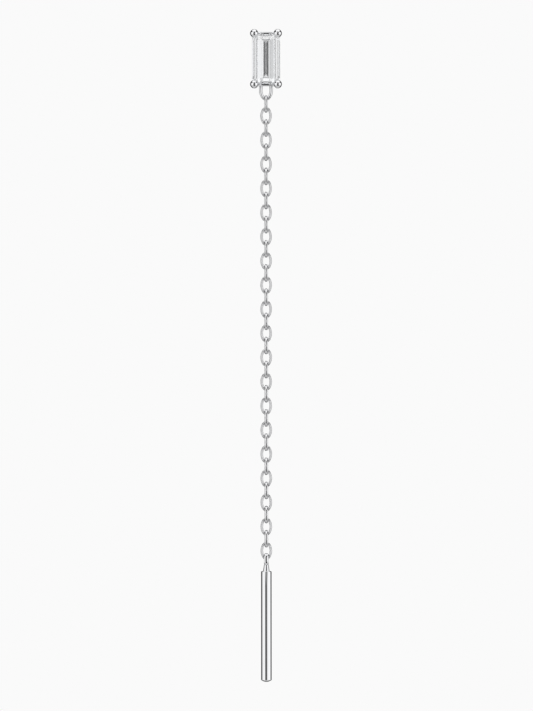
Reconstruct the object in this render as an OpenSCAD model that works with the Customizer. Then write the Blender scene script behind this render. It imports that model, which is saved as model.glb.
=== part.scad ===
// Threader earring: a step-cut baguette in a four-prong setting, a fine cable chain
// of interlocked links, and a plain round bar that threads through the ear lobe.
// Millimetres, +Z up. The origin is the middle of the setting's flat back, where it
// lies against the lobe. The stone faces -Y and the chain hangs down along -Z.

/* [Stone] */
// Width of the baguette across its girdle
stone_w = 2.52; // [2.4:0.02:2.7]
// Length of the baguette across its girdle
stone_l = 4.42; // [4.2:0.02:4.7]
// Height of the crown, from the middle of the girdle up to the table
crown_h = 0.38; // [0.3:0.01:0.42]
// Depth of the pavilion, from the middle of the girdle back to the keel
pavilion_h = 0.88; // [0.8:0.01:0.94]
// Thickness of the girdle
girdle_t = 0.06; // [0.04:0.01:0.1]

/* [Setting] */
// Distance of the girdle's middle in front of the flat back
girdle_front = 1.55; // [1.5:0.01:1.7]
// Diameter of the round prong tips
tip_d = 0.78; // [0.7:0.01:0.86]
// Diameter of the prong wires
prong_d = 0.42; // [0.36:0.01:0.46]
// Diameter of the gallery wires that the stone sits on
gallery_d = 0.34; // [0.3:0.01:0.36]
// Depth of the base rail, from front to back
base_t = 0.34; // [0.28:0.01:0.36]

/* [Bail] */
// Outer width of the U-shaped bail
bail_w = 1.25; // [1.18:0.01:1.3]
// Diameter of the bail's wire at its legs
bail_d = 0.32; // [0.28:0.01:0.33]

/* [Chain] */
// Number of links, an even number so that the last one lies face on
link_count = 38; // [20:2:38]
// Outer length of a link
link_l = 1.597; // [1.58:0.001:1.62]
// Outer width of a link
link_w = 1.04; // [1.02:0.01:1.06]
// Thickness of the link's wire in the plane of the link
wire_t = 0.23; // [0.22:0.005:0.235]
// Width of the link's flattened wire across the plane of the link
wire_h = 0.32; // [0.3:0.01:0.32]

/* [Bar] */
// Diameter of the threading bar
bar_d = 0.99; // [0.9:0.01:1.05]
// Length of the threading bar without its loop and neck
bar_l = 10; // [8:0.5:14]
// Depth of the loop on top of the bar, from front to back
loop_d = 1; // [0.98:0.01:1.04]
// Height of the loop
loop_l = 1.12; // [1.08:0.01:1.2]
// Width of the loop across its plane
loop_w = 0.41; // [0.36:0.01:0.41]
// Length of the neck between the loop and the bar
neck_l = 0.485; // [0.4:0.005:0.7]

/* [Fits] */
// Gap between the stone and the metal of its seat
seat_gap = 0.03; // [0.02:0.005:0.04]
// Gap between two links where they hook into each other
link_gap = 0.05; // [0.04:0.005:0.055]

/* [Hidden] */
$fn = 48;

// Steps of the cut, from the table back to the keel: the inset of the long sides,
// the inset of the short ends and the height above the girdle's middle
STEP_SIDE = 0;
STEP_END = 1;
STEP_HEIGHT = 2;
keel_w = 0.03;
stone_steps = [
    [0.39, 0.45, crown_h],
    [0.14, 0.16, 0.4 * crown_h],
    [0, 0, girdle_t / 2],
    [0, 0, -girdle_t / 2],
    [0.37, 0.23, -0.46 * pavilion_h],
    [1.04, 0.55, -0.9 * pavilion_h],
    [(stone_w - keel_w) / 2, 0.83, -pavilion_h]
];

// Prongs lean outwards from the base to the tips that hold the stone's corners
prong_foot = [stone_w / 2 - 0.24, 0.2, stone_l / 2 - 0.01];
prong_head = [stone_w / 2 - 0.15, -girdle_front - 0.4, stone_l / 2 + 0.14];
tip_centre = [stone_w / 2 - 0.2, -girdle_front - 0.4, stone_l / 2 + 0.076];

// The gallery lies in the plane that the bail and the chain hang in
chain_y = -1.04;
gallery_share = (chain_y - prong_foot.y) / (prong_head.y - prong_foot.y);
gallery_corner = prong_foot + gallery_share * (prong_head - prong_foot);
base_wall = 0.3;

// A link is an oval of four arcs, wide side arcs and tight end arcs that meet without
// a corner, and the bail's bottom is half of such an oval. The flat share is the part
// of the rolled wire's width that is flat, and the thin share is the bail's thickness
// at its bottom, where it was drawn thinner than at its legs
link_end_r = 0.31;
link_steps = 2;
flat_share = 0.3;
bail_end_r = 0.3;
bail_steps = 4;
bail_sides = 12;
bail_oval_l = 0.75;
bail_thin = 0.75;
bail_wedge_gap = 0.04;
wire_in_l = link_l - 2 * wire_t;
pitch = wire_in_l - link_gap;
bail_oval_z = -2.88;
bail_inner_z = bail_oval_z - bail_oval_l + bail_thin * bail_d / 2;
first_z = bail_inner_z + bail_wedge_gap - wire_in_l / 2;
last_z = first_z - (link_count - 1) * pitch;

// The loop rides above the last link's bottom, where the link's hole is wide enough.
// It is a rounded rectangle, and its corner radius is that of the wire's middle
loop_lift = 0.15;
loop_wall = 0.215;
loop_corner_r = 0.26;
loop_z = last_z - wire_in_l / 2 + loop_lift + loop_wall - loop_l / 2;
neck_overlap = 0.06;
neck_top_d = 0.44;
neck_end_d = 0.6;
bar_top_z = loop_z - loop_l / 2 - neck_l;
shoulder_h = 0.09;
dome_h = 0.17;

function link_name(i) = str("link_", i < 10 ? "0" : "", i);

// Radius of an oval's side arcs that meet its end arcs without a corner
function side_arc_r(half_w, half_l, end_r) =
    (half_w ^ 2 - end_r ^ 2 + (half_l - end_r) ^ 2) / (2 * (half_w - end_r));

// Direction in which a side arc of an oval meets its end arc
function joint_angle(half_w, half_l, end_r) =
    atan((half_l - end_r) / (side_arc_r(half_w, half_l, end_r) - half_w));

// Rows of a path along an arc, up to but not at its end
function arc_path(centre, r, from, to, steps) = [
    for (i = [0 : steps - 1])
    let (a = from + (to - from) * i / steps)
    [centre.x + r * cos(a), centre.y + r * sin(a), a]
];

// The lower half of an oval, from its left side round its bottom to its right side
function lower_oval(half_w, half_l, end_r, steps) =
    let (
        side_r = side_arc_r(half_w, half_l, end_r),
        angle = joint_angle(half_w, half_l, end_r)
    )
    concat(
        arc_path([side_r - half_w, 0], side_r, 180, 180 + angle, steps),
        arc_path([0, end_r - half_l], end_r, 180 + angle, 360 - angle, 2 * steps),
        arc_path([half_w - side_r, 0], side_r, 360 - angle, 360, steps)
    );

// A path turned about the middle of its plane
function turned(path, turn) = [
    for (row = path)
    [
        row.x * cos(turn) - row.y * sin(turn),
        row.x * sin(turn) + row.y * cos(turn),
        row.z + turn
    ]
];

// Section of the links' wire, a round wire that was rolled a little flat
function flat_wire(thick, wide) = [
    for (corner = [
        [1, -flat_share], [1, flat_share], [0, 1],
        [-1, flat_share], [-1, -flat_share], [0, -1]
    ])
    [corner.x * thick / 2, corner.y * wide / 2]
];

// Section of a round wire
function round_wire(d, sides) = [
    for (k = [0 : sides - 1])
    let (a = 360 * (k + 0.5) / sides)
    [d / 2 * cos(a), d / 2 * sin(a)]
];

// The four corners of one step of the stone
function step_ring(step, grow, height) = [
    for (corner = [[1, 1], [-1, 1], [-1, -1], [1, -1]])
    [
        corner.x * (stone_w / 2 - step[STEP_SIDE] + grow),
        corner.y * (stone_l / 2 - step[STEP_END] + grow),
        height
    ]
];

// The cut stone, table up; grow makes it larger on every side for the cutter of its seat
module baguette(grow = 0) {
    last = len(stone_steps) - 1;
    points = [
        for (i = [0 : last])
        let (
            step = stone_steps[i],
            height = step[STEP_HEIGHT] + (i == 0 ? grow : i == last ? -grow : 0)
        )
        each step_ring(step, grow, height)
    ];
    sides = [
        for (i = [0 : last - 1], k = [0 : 3])
        let (next = (k + 1) % 4)
        [4 * i + k, 4 * i + next, 4 * (i + 1) + next, 4 * (i + 1) + k]
    ];
    table = [3, 2, 1, 0];
    keel = [for (k = [0 : 3]) 4 * last + k];
    translate([0, -girdle_front, 0]) rotate([90, 0, 0])
        polyhedron(points, concat([table], sides, [keel]));
}

// A round wire between two points
module straight_wire(from, to, d) {
    run = to - from;
    translate(from)
        rotate([0, acos(run.z / norm(run)), atan2(run.y, run.x)])
            cylinder(h = norm(run), d = d);
}

// A wire swept along a flat path whose rows are [x, y, direction of its outer side]
// and may end with a share that the section is scaled by there; section points are
// [outwards, across the plane], counterclockwise
module swept_wire(path, section, closed) {
    rings = len(path);
    sides = len(section);
    points = [
        for (place = path, corner = section)
        let (p = (len(place) > 3 ? place[3] : 1) * corner)
        [place.x + p.x * cos(place.z), place.y + p.x * sin(place.z), p.y]
    ];
    walls = [
        for (i = [0 : rings - (closed ? 1 : 2)], k = [0 : sides - 1])
        let (next_ring = (i + 1) % rings, next = (k + 1) % sides)
        [
            i * sides + k,
            i * sides + next,
            next_ring * sides + next,
            next_ring * sides + k
        ]
    ];
    start_cap = [for (k = [sides - 1 : -1 : 0]) k];
    end_cap = [for (k = [0 : sides - 1]) (rings - 1) * sides + k];
    polyhedron(points, closed ? walls : concat(walls, [start_cap, end_cap]));
}

module prongs() {
    for (side = [-1, 1], end = [-1, 1]) {
        place = [side, 1, end];
        straight_wire(
            [for (a = [0 : 2]) place[a] * prong_foot[a]],
            [for (a = [0 : 2]) place[a] * prong_head[a]],
            prong_d
        );
        translate([for (a = [0 : 2]) place[a] * tip_centre[a]]) sphere(d = tip_d);
    }
}

module gallery() {
    x = gallery_corner.x;
    z = gallery_corner.z;
    for (s = [-1, 1]) {
        straight_wire([-x, chain_y, s * z], [x, chain_y, s * z], gallery_d);
        straight_wire([s * x, chain_y, -z], [s * x, chain_y, z], gallery_d);
    }
}

module base_rail() {
    outer_w = 2 * prong_foot.x + base_wall;
    outer_l = 2 * prong_foot.z + base_wall;
    inner_w = outer_w - 2 * base_wall;
    inner_l = outer_l - 2 * base_wall;
    rotate([90, 0, 0]) linear_extrude(base_t) difference() {
        square([outer_w, outer_l], center = true);
        square([inner_w, inner_l], center = true);
    }
}

module bail() {
    half_w = (bail_w - bail_d) / 2;
    leg_l = -gallery_corner.z - bail_oval_z;
    oval = [
        for (row = lower_oval(half_w, bail_oval_l, bail_end_r, bail_steps))
        concat(row, 1 - (1 - bail_thin) * (row.y / bail_oval_l) ^ 2)
    ];
    path = concat([[-half_w, leg_l, 180]], oval, [[half_w, 0, 360], [half_w, leg_l, 360]]);
    translate([0, chain_y, bail_oval_z]) rotate([90, 0, 0])
        swept_wire(path, round_wire(bail_d, bail_sides), false);
}

// The soldered metal, with the stone's seat cut out and its back made flat
module setting() {
    color("silver") difference() {
        union() {
            prongs();
            gallery();
            base_rail();
            bail();
        }
        baguette(seat_gap);
        translate([-stone_w, 0, -stone_l]) cube([2 * stone_w, prong_d, 2 * stone_l]);
    }
}

module stone() {
    color("aliceblue") baguette();
}

// Odd links stand edge on and even links face on, each hooked into the one above
module link(i) {
    half_w = (link_w - wire_t) / 2;
    half_l = (link_l - wire_t) / 2;
    turn = i % 2 == 1 ? 90 : 0;
    half = lower_oval(half_w, half_l, link_end_r, link_steps);
    color("gainsboro")
        translate([0, chain_y, first_z - (i - 1) * pitch])
            rotate([90, 0, turn])
                swept_wire(concat(half, turned(half, 180)), flat_wire(wire_t, wire_h), true);
}

// Section of the loop: two wide arcs with rounded edges
module flat_section(thick, wide) {
    face_r = (wide / 2) ^ 2 / (thick / 2);
    intersection() {
        circle(d = wide);
        translate([face_r - thick / 2, 0]) circle(r = face_r);
        translate([thick / 2 - face_r, 0]) circle(r = face_r);
    }
}

// The loop on top of the bar: four straight runs and four rounded corners
module bar_loop() {
    aside = (loop_d - loop_wall) / 2;
    above = (loop_l - loop_wall) / 2;
    translate([0, chain_y, loop_z]) rotate([0, 90, 0]) {
        for (turn = [0, 180]) rotate([0, 0, turn]) {
            translate([above, 0, 0]) rotate([90, 0, 0])
                linear_extrude(2 * (aside - loop_corner_r), center = true)
                    flat_section(loop_wall, loop_w);
            translate([0, aside, 0]) rotate([90, 0, 90])
                linear_extrude(2 * (above - loop_corner_r), center = true)
                    flat_section(loop_wall, loop_w);
        }
        for (side = [-1, 1], end = [-1, 1])
            translate([side * (above - loop_corner_r), end * (aside - loop_corner_r), 0])
                rotate([0, 0, side > 0 ? (end > 0 ? 0 : 270) : (end > 0 ? 90 : 180)])
                    rotate_extrude(angle = 90) translate([loop_corner_r, 0])
                        flat_section(loop_wall, loop_w);
    }
}

module bar_neck() {
    translate([0, chain_y, bar_top_z])
        cylinder(h = neck_l + neck_overlap, d1 = neck_end_d, d2 = neck_top_d);
}

// The straight bar with a small shoulder on top and a domed end that slips through
module bar_rod() {
    dome_r = ((bar_d / 2) ^ 2 + dome_h ^ 2) / (2 * dome_h);
    rod_l = bar_l - shoulder_h;
    translate([0, chain_y, bar_top_z - shoulder_h]) {
        cylinder(h = shoulder_h, d1 = bar_d, d2 = bar_d - 2 * shoulder_h);
        intersection() {
            translate([0, 0, -rod_l]) cylinder(h = rod_l, d = bar_d);
            union() {
                translate([0, 0, dome_r - rod_l]) sphere(r = dome_r);
                translate([0, 0, dome_h - rod_l]) cylinder(h = rod_l, d = 2 * bar_d);
            }
        }
    }
}

module bar() {
    color("silver") {
        bar_loop();
        bar_neck();
        bar_rod();
    }
}

setting();
stone();
for (i = [1 : link_count])
    link(i);
bar();
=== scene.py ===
import math

import bmesh
import bpy
from mathutils import Matrix, Vector


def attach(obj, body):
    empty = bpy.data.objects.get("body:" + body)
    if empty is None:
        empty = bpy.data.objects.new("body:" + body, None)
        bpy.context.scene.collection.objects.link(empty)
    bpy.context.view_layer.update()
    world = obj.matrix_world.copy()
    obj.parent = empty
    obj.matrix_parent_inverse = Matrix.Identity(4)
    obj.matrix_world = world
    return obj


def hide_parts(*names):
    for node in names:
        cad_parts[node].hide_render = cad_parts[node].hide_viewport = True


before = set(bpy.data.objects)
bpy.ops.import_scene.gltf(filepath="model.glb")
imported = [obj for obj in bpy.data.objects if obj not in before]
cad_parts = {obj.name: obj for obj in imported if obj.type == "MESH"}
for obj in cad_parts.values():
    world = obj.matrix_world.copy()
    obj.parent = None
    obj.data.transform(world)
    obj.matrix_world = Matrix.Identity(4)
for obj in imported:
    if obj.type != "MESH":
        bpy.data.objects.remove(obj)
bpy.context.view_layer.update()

# Threader earring. The CAD file says where every piece sits; this script gives each
# piece its finished shape and metal, and lights it as a plain studio picture.
# Pieces are drawn in millimetres, because Blender's tools are made for larger things,
# and keepPiece brings each one to metres.

toMetres = 0.001
chainY = -1.04              # the gallery, the chain and the bar lie this far in front of the back
sameSpot = 0.0002           # points closer than this are one point
sharpAngle = {"stone": 1, "metal": 32, "link": 60}      # degrees: edges that turn more stay sharp


# small tools for working in object and edit mode

def clearSelection():
    if bpy.context.object and bpy.context.object.mode != "OBJECT":
        bpy.ops.object.mode_set(mode="OBJECT")
    bpy.ops.object.select_all(action="DESELECT")


def openPiece(piece):
    clearSelection()
    piece.select_set(True)
    bpy.context.view_layer.objects.active = piece


def editPiece(piece, mode="FACE"):
    openPiece(piece)
    bpy.ops.object.mode_set(mode="EDIT")
    bpy.ops.mesh.select_mode(type=mode)


def pickFaces(piece, wanted):
    # selects the faces that the test accepts, in edit mode
    shape = bmesh.from_edit_mesh(piece.data)
    for face in shape.faces:
        face.select = bool(wanted(face))
    shape.select_flush_mode()
    bmesh.update_edit_mesh(piece.data)


def nameNew(name):
    piece = bpy.context.object
    piece.name = name
    piece.data.name = name
    return piece


def applyPlace(piece):
    openPiece(piece)
    bpy.ops.object.transform_apply(location=True, rotation=True, scale=True)


def closeShape(piece):
    # merges doubles and turns the faces outwards
    editPiece(piece, "VERT")
    bpy.ops.mesh.select_all(action="SELECT")
    bpy.ops.mesh.remove_doubles(threshold=sameSpot)
    bpy.ops.mesh.normals_make_consistent(inside=False)
    bpy.ops.object.mode_set(mode="OBJECT")


def fuse(piece, other, operation="UNION"):
    openPiece(piece)
    joint = piece.modifiers.new("joint", "BOOLEAN")
    joint.operation = operation
    joint.solver = "EXACT"
    joint.object = other
    bpy.ops.object.modifier_apply(modifier=joint.name)
    bpy.data.objects.remove(other)
    return piece


def keepPiece(piece, material, body, nodes, kind):
    # brings the piece to metres, shades it and hands it to its body and CAD nodes
    openPiece(piece)
    piece.data.transform(Matrix.Scale(toMetres, 4))
    bpy.ops.object.shade_smooth_by_angle(angle=math.radians(sharpAngle[kind]))
    piece.data.materials.clear()
    piece.data.materials.append(material)
    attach(piece, body)
    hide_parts(*nodes)


# materials

def fromHex(text):
    # sRGB hex to linear
    levels = [int(text[k:k + 2], 16) / 255 for k in (0, 2, 4)]
    return [v / 12.92 if v <= 0.04045 else ((v + 0.055) / 1.055) ** 2.4 for v in levels] + [1]


def addNode(tree, kind, settings=None, links=None):
    node = tree.nodes.new(kind)
    for key, value in (settings or {}).items():
        if isinstance(key, int) or key in node.inputs:
            node.inputs[key].default_value = value
        else:
            setattr(node, key, value)
    for key, source in (links or {}).items():
        tree.links.new(source, node.inputs[key])
    return node


def newMaterial(name):
    material = bpy.data.materials.new(name)
    material.use_nodes = True
    tree = material.node_tree
    tree.nodes.clear()
    return material, tree


def noiseScale(size):
    # for a noise whose patches are this many millimetres wide
    return 1 / (size * toMetres)


def driftingTone(tree, place, size, tones, detail=2.0):
    # a colour that drifts between two tones, in patches of this many millimetres
    patches = addNode(
        tree, "ShaderNodeTexNoise", {"Scale": noiseScale(size), "Detail": detail}, {"Vector": place}
    )
    first, second = [fromHex(tone) for tone in tones]
    # a colour mix takes its two colours at inputs 6 and 7 and gives output 2
    mix = {"data_type": "RGBA", 6: first, 7: second}
    return addNode(tree, "ShaderNodeMix", mix, {0: patches.outputs["Fac"]}).outputs[2]


# Rhodium plate over polished silver: a cool, near-white mirror. Buffing leaves hairlines
# a few thousandths of a millimetre wide, which soften the mirror a little and unevenly.
# They are too fine to show one by one, and are drawn as coarse as it takes to do that
mirrorPlate = {
    "name": "rhodiumPlatedSilver",
    "tones": ("F6F6F7", "EEEFF1"),
    "cloudSize": 0.6,       # millimetres, as markSize and markDepth
    "roughness": (0.01, 0.03),
    "markSize": 0.05,
    "markDepth": 0.0001,
}

# The links are polished by tumbling in a barrel of steel shot, which leaves tiny dents:
# the chain looks a shade greyer and softer than the buffed parts. The dents are drawn
# coarser than real ones too, so that the softness shows
barrelPolish = {
    "name": "barrelPolishedSilver",
    "tones": ("F5F5F6", "EBEBED"),
    "cloudSize": 0.6,
    "roughness": (0.14, 0.22),
    "markSize": 0.05,
    "markDepth": 0.005,
}

# Cubic zirconia: water clear, with more sparkle than glass because it bends light more.
# Its facets are polished, and its girdle is left as it was ground, so it looks frosted
clearZirconia = {
    "name": "cutCubicZirconia",
    "tones": ("FFFFFF", "F8FAFD"),
    "cloudSize": 0.7,
    "bend": 2.16,
    "frost": 0.25,
    "frostFade": 1.05,      # the frost is gone at this many times the girdle's half thickness
}


def polishedMetal(finish):
    material, tree = newMaterial(finish["name"])
    place = addNode(tree, "ShaderNodeTexCoord").outputs["Object"]
    tone = driftingTone(tree, place, finish["cloudSize"], finish["tones"])
    marks = addNode(
        tree, "ShaderNodeTexNoise", {"Scale": noiseScale(finish["markSize"]), "Detail": 3.0},
        {"Vector": place},
    )
    low, high = finish["roughness"]
    rough = addNode(
        tree, "ShaderNodeMapRange", {"To Min": low, "To Max": high}, {"Value": marks.outputs["Fac"]}
    )
    relief = addNode(
        tree, "ShaderNodeBump", {"Strength": 0.6, "Distance": finish["markDepth"] * toMetres},
        {"Height": marks.outputs["Fac"]},
    )
    shader = addNode(
        tree, "ShaderNodeBsdfPrincipled", {"Metallic": 1.0},
        {"Base Color": tone, "Roughness": rough.outputs[0], "Normal": relief.outputs[0]},
    )
    addNode(tree, "ShaderNodeOutputMaterial", None, {"Surface": shader.outputs[0]})
    return material


def cutStone(finish, cut):
    material, tree = newMaterial(finish["name"])
    place = addNode(tree, "ShaderNodeTexCoord").outputs["Object"]
    tone = driftingTone(tree, place, finish["cloudSize"], finish["tones"])
    axes = addNode(tree, "ShaderNodeSeparateXYZ", None, {"Vector": place})
    toGirdle = addNode(
        tree, "ShaderNodeMath", {"operation": "ADD", 1: cut["girdleFront"] * toMetres},
        {0: axes.outputs["Y"]},
    )
    away = addNode(tree, "ShaderNodeMath", {"operation": "ABSOLUTE"}, {0: toGirdle.outputs[0]})
    edge = cut["girdleThick"] / 2 * toMetres
    fade = {"From Min": edge, "From Max": edge * finish["frostFade"]}
    frost = addNode(
        tree, "ShaderNodeMapRange", fade | {"To Min": finish["frost"], "To Max": 0.0},
        {"Value": away.outputs[0]},
    )
    shader = addNode(
        tree, "ShaderNodeBsdfPrincipled", {"IOR": finish["bend"], "Transmission Weight": 1.0},
        {"Base Color": tone, "Roughness": frost.outputs[0]},
    )
    addNode(tree, "ShaderNodeOutputMaterial", None, {"Surface": shader.outputs[0]})
    return material


# wires: a flat section is swept by spins and straight runs in the XZ plane

def startSection(name, place, thick, wide, sides):
    # a horizontal outline of the wire, selected and ready to be swept
    clearSelection()
    bpy.ops.mesh.primitive_circle_add(vertices=sides, radius=0.5, location=place)
    piece = nameNew(name)
    piece.scale = (thick, wide, 1)
    applyPlace(piece)
    editPiece(piece, "VERT")
    bpy.ops.mesh.select_all(action="SELECT")
    return piece


def spinOn(centre, angle, steps):
    bpy.ops.mesh.spin(
        steps=steps, dupli=False, angle=angle, use_auto_merge=False,
        use_normal_flip=False, center=centre, axis=(0, 1, 0),
    )


def runOn(shift):
    bpy.ops.mesh.extrude_region()
    bpy.ops.transform.translate(value=shift)


def selectedMiddle(piece):
    spots = [point.co for point in bmesh.from_edit_mesh(piece.data).verts if point.select]
    return sum(spots, Vector()) / len(spots)


def halfOval(piece, middle, half, oval, turn=1):
    # sweeps the selected section half round an oval of wide side arcs and tight end
    # arcs: downwards from its left side, or with a turn of -1 upwards from its right.
    # half is the oval's half width and length, to the middle of the wire
    x, y, z = middle
    halfWide, halfLong = half
    rise = halfLong - oval["endRadius"]
    spread = halfWide - oval["endRadius"]
    sideRadius = (halfWide ** 2 - oval["endRadius"] ** 2 + rise ** 2) / (2 * spread)
    offset = sideRadius - halfWide
    meet = math.atan2(rise, offset)
    steps = oval["steps"]
    arcs = [
        ((x + turn * offset, y, z), meet, steps),
        ((x, y, z - turn * rise), math.pi - 2 * meet, 2 * steps),
        ((x - turn * offset, y, z), meet, steps),
    ]
    thickness = 1
    for centre, angle, count in arcs:
        for _ in range(count):
            spinOn(centre, angle / count, 1)
            if "thin" in oval:
                spot = selectedMiddle(piece)
                wanted = 1 - (1 - oval["thin"]) * ((z - spot.z) / halfLong) ** 2
                share = wanted / thickness
                bpy.ops.transform.resize(value=(share, share, share), center_override=spot)
                thickness = wanted


def roundedFrame(name, middle, half, section, bends):
    # a wire round a rectangle with round corners, whose short sides may bow forwards.
    # half is its half width and height, to the middle of the wire, and section is how
    # thick the wire is in the plane of the rectangle and across that plane
    x, y, z = middle
    halfWide, halfHigh = half
    thick, wide = section
    along = halfWide - bends["corner"]
    up = halfHigh - bends["corner"]
    wire = startSection(name, (x - halfWide, y, z), thick, wide, bends["sides"])
    sides = [
        ((0, -up), (-along, -up)),
        ((2 * along, 0), (along, -up)),
        ((0, 2 * up), (along, up)),
        ((-2 * along, 0), (-along, up)),
    ]
    bow, parts = bends.get("bow", 0), bends.get("bowSteps", 1)
    for (runX, runZ), (cornerX, cornerZ) in sides:
        for k in range(parts):
            bowed, bowedNext = [bow * (1 - (2 * j / parts - 1) ** 2) for j in (k, k + 1)]
            forward = bowed - bowedNext if runX else 0
            runOn((runX / parts, forward, runZ / parts))
        spinOn((x + cornerX, y, z + cornerZ), math.pi / 2, bends["steps"])
    runOn((0, 0, -up))
    closeShape(wire)
    return wire


# the stone: a rectangle at the girdle, extruded and narrowed step by step

stoneCut = {
    "width": 2.52,
    "length": 4.42,
    "girdleFront": 1.55,    # girdle's middle in front of the setting's back
    "girdleThick": 0.06,
    # inset of the long sides, inset of the ends, distance from the girdle's middle
    "crown": [(0.14, 0.16, 0.152), (0.39, 0.45, 0.38)],
    "pavilion": [(0.37, 0.23, 0.405), (1.04, 0.55, 0.792), (1.245, 0.83, 0.88)],
    "seatGap": 0.03,        # air between the stone and its seat
}


def cutBaguette(name, grow=0.0):
    # grow makes it larger on every side, for the cutter of its seat
    front = stoneCut["girdleFront"]
    girdle = stoneCut["girdleThick"] / 2
    startY = girdle - front
    width, length = stoneCut["width"] + 2 * grow, stoneCut["length"] + 2 * grow
    clearSelection()
    bpy.ops.mesh.primitive_plane_add(size=1, location=(0, startY, 0), rotation=(math.pi / 2, 0, 0))
    stone = nameNew(name)
    stone.scale = (width, length, 1)
    applyPlace(stone)
    for side, steps in ((-1, [(0, 0, girdle)] + stoneCut["crown"]), (1, stoneCut["pavilion"])):
        editPiece(stone)
        pickFaces(stone, lambda face: abs(face.calc_center_median().y - startY) < sameSpot)
        oldY, oldWide, oldLong = startY, width, length
        for sideInset, endInset, away in steps:
            last = away == steps[-1][2]
            y = side * (away + (grow if last else 0)) - front
            wide, long = width - 2 * sideInset, length - 2 * endInset
            runOn((0, y - oldY, 0))
            bpy.ops.transform.resize(
                value=(wide / oldWide, 1, long / oldLong), center_override=(0, y, 0)
            )
            oldY, oldWide, oldLong = y, wide, long
    closeShape(stone)
    return stone


# the setting: claws with round tips, gallery, base rail and bail, soldered together

claws = {
    # places from the stone's corner, at the girdle: outwards across the stone, towards
    # the back, and outwards along the stone
    "foot": (-0.24, 1.75, -0.01),
    "head": (-0.15, -0.4, 0.14),
    "tip": (-0.2, -0.4, 0.076),
    "tipWide": 0.78,
    "wireWide": 0.42,
    "sides": 28,
    "tipSides": 40,
}


def clawPoint(part, side=1, end=1):
    # a place on the claw that stands on this side and end, each 1 or -1
    outwards, back, up = claws[part]
    return Vector((
        side * (stoneCut["width"] / 2 + outwards),
        back - stoneCut["girdleFront"],
        end * (stoneCut["length"] / 2 + up),
    ))


def makeClaw(side, end):
    foot, head, tip = [clawPoint(part, side, end) for part in ("foot", "head", "tip")]
    run = head - foot
    clearSelection()
    bpy.ops.mesh.primitive_cylinder_add(
        vertices=claws["sides"], radius=claws["wireWide"] / 2, depth=run.length,
        location=(foot + head) / 2, rotation=run.to_track_quat("Z", "Y").to_euler(),
    )
    claw = nameNew("claw")
    applyPlace(claw)
    clearSelection()
    bpy.ops.mesh.primitive_uv_sphere_add(
        segments=claws["tipSides"], ring_count=claws["tipSides"] // 2,
        radius=claws["tipWide"] / 2, location=tip, rotation=(math.pi / 2, 0, 0),
    )
    ball = nameNew("clawTip")
    applyPlace(ball)
    return fuse(claw, ball)


gallery = {
    "corner": 0.2,
    "wire": 0.34,
    "flat": 0.24,           # the round wire is rolled to this depth, and its front stays in place
    "bow": 0.15,            # the short wires bow forwards by this much in their middle
    "bowSteps": 12,
    "sides": 24,            # faces round the wire, as in every wire here
    "steps": 5,             # pieces in each bend
}


def galleryCorner():
    # where the upper right claw crosses the plane of the gallery
    foot, head = clawPoint("foot"), clawPoint("head")
    return foot.lerp(head, (chainY - foot.y) / (head.y - foot.y))


def makeGallery():
    corner = galleryCorner()
    middleY = chainY - (gallery["wire"] - gallery["flat"]) / 2
    section = (gallery["wire"], gallery["flat"])
    return roundedFrame("gallery", (0, middleY, 0), (corner.x, corner.z), section, gallery)


baseRail = {"wall": 0.3, "depth": 0.34, "softEdge": 0.05, "softSteps": 3}


def makeBaseRail():
    # the claws stand on the middle of its wall
    foot = clawPoint("foot")
    halfWall = baseRail["wall"] / 2
    clearSelection()
    bpy.ops.mesh.primitive_plane_add(
        size=2, location=(0, -baseRail["depth"], 0), rotation=(math.pi / 2, 0, 0)
    )
    rail = nameNew("baseRail")
    rail.scale = (foot.x + halfWall, foot.z + halfWall, 1)
    applyPlace(rail)
    editPiece(rail)
    bpy.ops.mesh.select_all(action="SELECT")
    bpy.ops.mesh.inset(thickness=baseRail["wall"], use_boundary=True)
    bpy.ops.mesh.delete(type="FACE")
    bpy.ops.mesh.select_all(action="SELECT")
    runOn((0, baseRail["depth"], 0))
    closeShape(rail)
    soft = rail.modifiers.new("softEdges", "BEVEL")
    soft.width = baseRail["softEdge"]
    soft.segments = baseRail["softSteps"]
    openPiece(rail)
    bpy.ops.object.modifier_apply(modifier=soft.name)
    return rail


bail = {
    "wide": 1.25,
    "ovalZ": -2.88,         # its legs end here, and half an oval joins them
    "drop": 0.75,           # from there down to the middle of the wire
    "endRadius": 0.3,       # of the middle of the wire, as in every oval here
    "wire": 0.32,
    "thin": 0.75,           # share of the wire's thickness that is left at the bottom
    "gap": 0.04,            # air between it and the first link, in place of their touch
    "sides": 20,
    "steps": 8,
}


def makeBail():
    # its legs hang from the middle of the lower gallery wire
    topZ = -galleryCorner().z
    half = ((bail["wide"] - bail["wire"]) / 2, bail["drop"])
    wire = startSection("bail", (-half[0], chainY, topZ), bail["wire"], bail["wire"], bail["sides"])
    bpy.ops.mesh.edge_face_add()
    leg = topZ - bail["ovalZ"]
    runOn((0, 0, -leg))
    halfOval(wire, (0, chainY, bail["ovalZ"]), half, bail)
    runOn((0, 0, leg))
    closeShape(wire)
    return wire


def makeSetting():
    metal = makeBaseRail()
    for side in (-1, 1):
        for end in (-1, 1):
            fuse(metal, makeClaw(side, end))
    fuse(metal, makeGallery())
    fuse(metal, makeBail())
    fuse(metal, cutBaguette("seatCutter", stoneCut["seatGap"]), "DIFFERENCE")
    # the feet are filed flush with the flat back
    clearSelection()
    bpy.ops.mesh.primitive_cube_add(size=1, location=(0, 0.5, 0))
    behind = nameNew("behind")
    behind.scale = (2 * stoneCut["width"], 1, 2 * stoneCut["length"])
    applyPlace(behind)
    fuse(metal, behind, "DIFFERENCE")
    closeShape(metal)
    metal.name = metal.data.name = "clawSetting"
    return metal


# the chain: one link is swept, and every other one is turned a quarter turn

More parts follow.
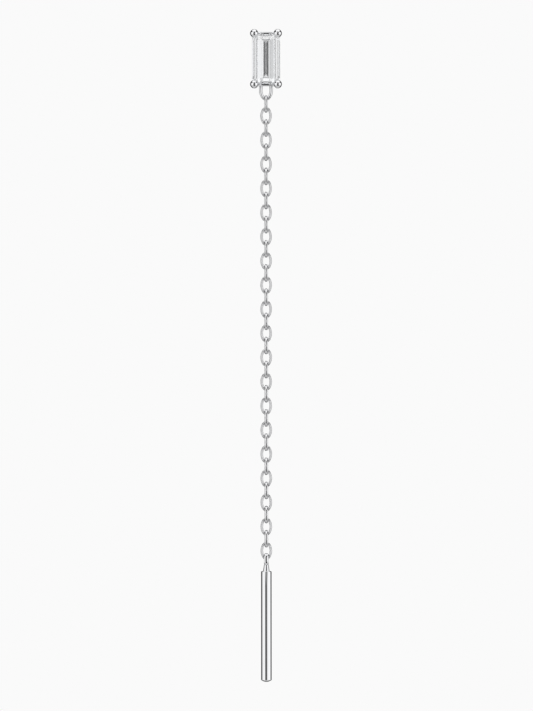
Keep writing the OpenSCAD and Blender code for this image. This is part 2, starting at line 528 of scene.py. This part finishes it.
chain = {
    "count": 38,
    "wide": 1.04,
    "long": 1.597,
    "endRadius": 0.31,
    "wireThick": 0.23,      # in the plane of the link, and wireWide is across it
    "wireWide": 0.32,
    "gap": 0.05,            # air between two links, in place of their touch
    "sides": 14,
    "steps": 8,
}

# the first link hangs in the bail, and each other one in the link above it
linkInside = chain["long"] - 2 * chain["wireThick"]
pitch = linkInside - chain["gap"]
bailInsideZ = bail["ovalZ"] - bail["drop"] + bail["thin"] * bail["wire"] / 2
firstLinkZ = bailInsideZ + bail["gap"] - linkInside / 2
lastLinkZ = firstLinkZ - (chain["count"] - 1) * pitch


def makeLink():
    half = [(chain[size] - chain["wireThick"]) / 2 for size in ("wide", "long")]
    start = (-half[0], 0, 0)
    link = startSection("cableLink", start, chain["wireThick"], chain["wireWide"], chain["sides"])
    halfOval(link, (0, 0, 0), half, chain)
    halfOval(link, (0, 0, 0), half, chain, turn=-1)
    closeShape(link)
    return link


def copyLink(master, number):
    link = master.copy()
    link.data = master.data.copy()
    link.name = link.data.name = f"cableLink{number:02d}"
    bpy.context.scene.collection.objects.link(link)
    # the first link stands edge on, the next one face on, and so on
    turn = Matrix.Rotation(math.radians(90 if number % 2 else 0), 4, "Z")
    down = Vector((0, chainY, firstLinkZ - (number - 1) * pitch))
    link.data.transform(Matrix.Translation(down) @ turn)
    return link


# the threading bar: a turned rod with a neck, and a flat loop on top

threadBar = {
    "wide": 0.99,
    "long": 10.0,
    "shoulder": 0.09,
    "shoulderSteps": 4,
    "dome": 0.17,
    "domeSteps": 8,
    "sides": 72,            # faces round the bar
    "neckLong": 0.485,
    "neckTop": 0.44,
    "neckEnd": 0.6,
    "neckOver": 0.06,       # how far the neck reaches up into the loop
}

barLoop = {
    "deep": 1.0,
    "high": 1.12,
    "corner": 0.26,         # of the middle of the wire
    "wireThick": 0.215,     # in the plane of the loop, and wireWide is across it
    "wireWide": 0.41,
    "lift": 0.15,           # it rides this far above the last link's bottom, where the hole is wide
    "sides": 24,
    "steps": 10,
}

# the loop hangs in the last link, and the bar hangs from the loop
loopZ = lastLinkZ - linkInside / 2 + barLoop["lift"] + barLoop["wireThick"] - barLoop["high"] / 2
barTopZ = loopZ - barLoop["high"] / 2 - threadBar["neckLong"]


def arcPoints(radius, sweep, steps):
    # distance from the axis and drop from the top of an arc, from its foot to its top
    angles = [sweep * (1 - k / steps) for k in range(steps + 1)]
    return [(radius * math.sin(angle), radius * (1 - math.cos(angle))) for angle in angles]


def turnProfile(name, profile, steps):
    # turns a profile of (distance from the axis, z) once round the bar's axis
    clearSelection()
    bpy.ops.mesh.primitive_circle_add(vertices=3, radius=0.1)
    piece = nameNew(name)
    editPiece(piece, "VERT")
    bpy.ops.mesh.select_all(action="SELECT")
    # three points become one, which draws the profile
    bpy.ops.mesh.merge(type="CENTER")
    bpy.ops.transform.translate(value=(profile[0][0], chainY, profile[0][1]))
    for (oldOut, oldZ), (out, z) in zip(profile, profile[1:]):
        runOn((out - oldOut, 0, z - oldZ))
    bpy.ops.mesh.select_all(action="SELECT")
    bpy.ops.mesh.spin(
        steps=steps, dupli=False, angle=2 * math.pi, use_auto_merge=True,
        use_normal_flip=False, center=(0, chainY, 0), axis=(0, 0, 1),
    )
    closeShape(piece)
    return piece


def makeRod():
    half, end = threadBar["wide"] / 2, barTopZ - threadBar["long"]
    neckTopZ = barTopZ + threadBar["neckLong"] + threadBar["neckOver"]
    neck = [(0, neckTopZ), (threadBar["neckTop"] / 2, neckTopZ), (threadBar["neckEnd"] / 2, barTopZ)]
    soft = threadBar["shoulder"]
    shoulderArc = arcPoints(soft, math.pi / 2, threadBar["shoulderSteps"])
    shoulder = [(half - soft + out, barTopZ - drop) for out, drop in reversed(shoulderArc)]
    dome = threadBar["dome"]
    domeRadius = (half ** 2 + dome ** 2) / (2 * dome)
    domeArc = arcPoints(domeRadius, math.asin(half / domeRadius), threadBar["domeSteps"])
    cap = [(out, end + rise) for out, rise in domeArc]
    return turnProfile("threadBar", neck + shoulder + cap, threadBar["sides"])


def makeLoop():
    half = [(barLoop[size] - barLoop["wireThick"]) / 2 for size in ("deep", "high")]
    section = (barLoop["wireThick"], barLoop["wireWide"])
    loop = roundedFrame("barLoop", (0, 0, loopZ), half, section, barLoop)
    # it was drawn face on, and stands edge on
    turn = Matrix.Rotation(math.radians(90), 4, "Z")
    loop.data.transform(Matrix.Translation((0, chainY, 0)) @ turn)
    return loop


def makeBar():
    bar = fuse(makeRod(), makeLoop())
    closeShape(bar)
    return bar


# stage, light and camera

# Pale matt board: paper white with a fine, barely seen grain, lit a little from below,
# which its glow stands for
board = {
    "name": "paleMattBoard",
    "tones": ("F7F7F6", "F1F1F0"),
    "roughness": 0.8,
    "glow": 0.28,
    "grainSize": 1.11,      # millimetres, as radius and height; finer grain wouldn't show
    "radius": 150,
    "height": -75,
    "sides": 128,
}


def makeFloor():
    clearSelection()
    bpy.ops.mesh.primitive_circle_add(
        vertices=board["sides"], radius=board["radius"] * toMetres, fill_type="NGON",
        location=(0, 0, board["height"] * toMetres),
    )
    floor = nameNew("floor")
    applyPlace(floor)
    material, tree = newMaterial(board["name"])
    place = addNode(tree, "ShaderNodeTexCoord").outputs["Object"]
    tone = driftingTone(tree, place, board["grainSize"], board["tones"], detail=4.0)
    shader = addNode(
        tree, "ShaderNodeBsdfPrincipled",
        {"Roughness": board["roughness"], "Emission Strength": board["glow"]},
        {"Base Color": tone, "Emission Color": tone},
    )
    addNode(tree, "ShaderNodeOutputMaterial", None, {"Surface": shader.outputs[0]})
    floor.data.materials.append(material)
    floor.visible_glossy = False    # the metal shows the studio's lower half, not the board


# A white tent as polished metal is lit in: dark flags behind the earring, a duller
# stretch of wall on its left, a dark slot between the walls and the top, and a gap for
# the camera and its stand. Directions are degrees, round from the camera and minus to
# the left, or above the horizon; levels are brightness
studio = {
    "backdrop": "FAFAFA",
    "walls": [
        (-180, 1.2), (-152, 1.2), (-146, 0.02), (-106, 0.02), (-101, 0.4), (-92, 0.5),
        (-88, 0.95), (-85, 0.74), (-76, 0.74), (-71, 1.05), (-37, 1.05), (-33, 0.8), (33, 0.8),
        (37, 1.05), (71, 1.1), (87, 1.05), (92, 0.55), (101, 0.4), (106, 0.06), (146, 0.06),
        (152, 1.2), (180, 1.2),
    ],
    # one laid over the other: name, left, right, low and high edge, softness, level
    "panels": [
        ("top", -190, 190, 43, 100, 4, 1.08),
        ("bottom", -190, 190, -100, -27, 6, 0.6),
        ("bottomBackLeft", -190, -98, -54, -20, 3, 0.04),
        ("bottomBackRight", 98, 190, -54, -20, 3, 0.04),
        ("slotLeft", -190, -58, 26, 51, 2, 0.02),
        ("slotFront", -24, 28, 26, 45, 2, 0.02),
        ("slotRight", 58, 190, 26, 51, 2, 0.02),
        ("gap", -22, 11, -10, 10, 1.5, 0.03),
        ("gapAbove", -8, 29, 10, 44, 1.5, 0.02),
        ("gapBelow", -18, 30, -50, -10, 1.5, 0.02),
    ],
}


def rayAngles(tree):
    # the direction that a ray takes, as its angles round and above in degrees
    way = addNode(tree, "ShaderNodeTexCoord").outputs["Generated"]
    axes = addNode(tree, "ShaderNodeSeparateXYZ", None, {"Vector": way})
    ahead = addNode(tree, "ShaderNodeMath", {"operation": "MULTIPLY", 1: -1.0}, {0: axes.outputs["Y"]})
    turn = addNode(
        tree, "ShaderNodeMath", {"operation": "ARCTAN2"}, {0: axes.outputs["X"], 1: ahead.outputs[0]}
    )
    rise = addNode(tree, "ShaderNodeMath", {"operation": "ARCSINE"}, {0: axes.outputs["Z"]})
    return [
        addNode(tree, "ShaderNodeMath", {"operation": "DEGREES"}, {0: angle.outputs[0]}).outputs[0]
        for angle in (turn, rise)
    ]


def wallLight(tree, around):
    # the walls' brightness all the way round, as a ramp through their stops
    share = addNode(
        tree, "ShaderNodeMapRange", {"From Min": -180.0, "From Max": 180.0}, {"Value": around}
    )
    walls = addNode(tree, "ShaderNodeValToRGB", None, {"Fac": share.outputs[0]})
    stops = walls.color_ramp.elements
    for number, (degrees, level) in enumerate(studio["walls"]):
        place = (degrees + 180) / 360
        stop = stops[number] if number < 2 else stops.new(place)    # a new ramp has two stops
        stop.position = place
        stop.color = (level, level, level, 1)
    return walls.outputs["Color"]


def hangPanel(tree, light, around, above, panel):
    # the light with the panel's own level where a ray meets the panel
    name, left, right, low, high, soft, level = panel
    bands = []
    for angle, start, end in ((around, left, right), (above, low, high)):
        begun, ended = [
            addNode(
                tree, "ShaderNodeMapRange", {"From Min": edge - soft, "From Max": edge + soft},
                {"Value": angle},
            )
            for edge in (start, end)
        ]
        bands.append(addNode(
            tree, "ShaderNodeMath", {"operation": "SUBTRACT"},
            {0: begun.outputs[0], 1: ended.outputs[0]},
        ))
    inside = addNode(
        tree, "ShaderNodeMath", {"operation": "MULTIPLY"},
        {0: bands[0].outputs[0], 1: bands[1].outputs[0]},
    )
    # a number mix takes its two numbers at inputs 2 and 3
    return addNode(
        tree, "ShaderNodeMix", {"data_type": "FLOAT", "label": name, 3: level},
        {0: inside.outputs[0], 2: light},
    ).outputs[0]


def makeWorld():
    world = bpy.data.worlds.new("studio")
    world.use_nodes = True
    bpy.context.scene.world = world
    tree = world.node_tree
    tree.nodes.clear()
    around, above = rayAngles(tree)
    light = wallLight(tree, around)
    for panel in studio["panels"]:
        light = hangPanel(tree, light, around, above, panel)
    # the camera sees a plain backdrop, and the earring sees the tent
    seen = addNode(tree, "ShaderNodeBackground", {"Color": fromHex(studio["backdrop"])})
    lit = addNode(tree, "ShaderNodeBackground", {"Color": fromHex("FFFFFF")}, {"Strength": light})
    path = addNode(tree, "ShaderNodeLightPath")
    both = addNode(
        tree, "ShaderNodeMixShader", None,
        {0: path.outputs["Is Camera Ray"], 1: lit.outputs[0], 2: seen.outputs[0]},
    )
    addNode(tree, "ShaderNodeOutputWorld", None, {"Surface": both.outputs[0]})


view = {
    "lens": 500,            # long enough to look along parallel lines
    "sensor": 36,
    "frameHigh": 63.99,     # millimetres that the picture is high, at the chain
    "middleX": 0.028,
    "middleZ": -26.685,
    "lean": 0.04,           # degrees: the earring hangs a hair off plumb in the picture
    "clip": (0.01, 10),     # metres
}


def makeCamera():
    data = bpy.data.cameras.new("camera")
    data.lens = view["lens"]
    data.sensor_width = view["sensor"]
    data.clip_start, data.clip_end = view["clip"]
    camera = bpy.data.objects.new("camera", data)
    bpy.context.scene.collection.objects.link(camera)
    distance = view["lens"] / view["sensor"] * view["frameHigh"]
    camera.location = Vector((view["middleX"], chainY - distance, view["middleZ"])) * toMetres
    camera.rotation_euler = (math.pi / 2, math.radians(view["lean"]), 0)
    bpy.context.scene.camera = camera


# everything is made, one piece after another

rhodiumPlate = polishedMetal(mirrorPlate)
barrelSilver = polishedMetal(barrelPolish)
zirconia = cutStone(clearZirconia, stoneCut)
print("materials made")

masterLink = makeLink()
for number in range(1, chain["count"] + 1):
    link = copyLink(masterLink, number)
    keepPiece(link, barrelSilver, "setting_and_chain", [f"link_{number:02d}"], "link")
bpy.data.objects.remove(masterLink)
print("chain made")

stone = cutBaguette("baguetteStone")
keepPiece(stone, zirconia, "setting_and_chain", ["stone"], "stone")
print("stone cut")

keepPiece(makeSetting(), rhodiumPlate, "setting_and_chain", ["setting"], "metal")
print("setting soldered")

keepPiece(makeBar(), rhodiumPlate, "swinging_bar", ["bar"], "metal")
print("bar turned")

makeFloor()
makeWorld()
makeCamera()
scene = bpy.context.scene
scene.view_settings.view_transform = "Standard"
# a cut stone throws light from facet to facet many times before it leaves
lightBounces = 32
scene.cycles.max_bounces = lightBounces
scene.cycles.transmission_bounces = lightBounces
scene.cycles.glossy_bounces = lightBounces
print("stage set")
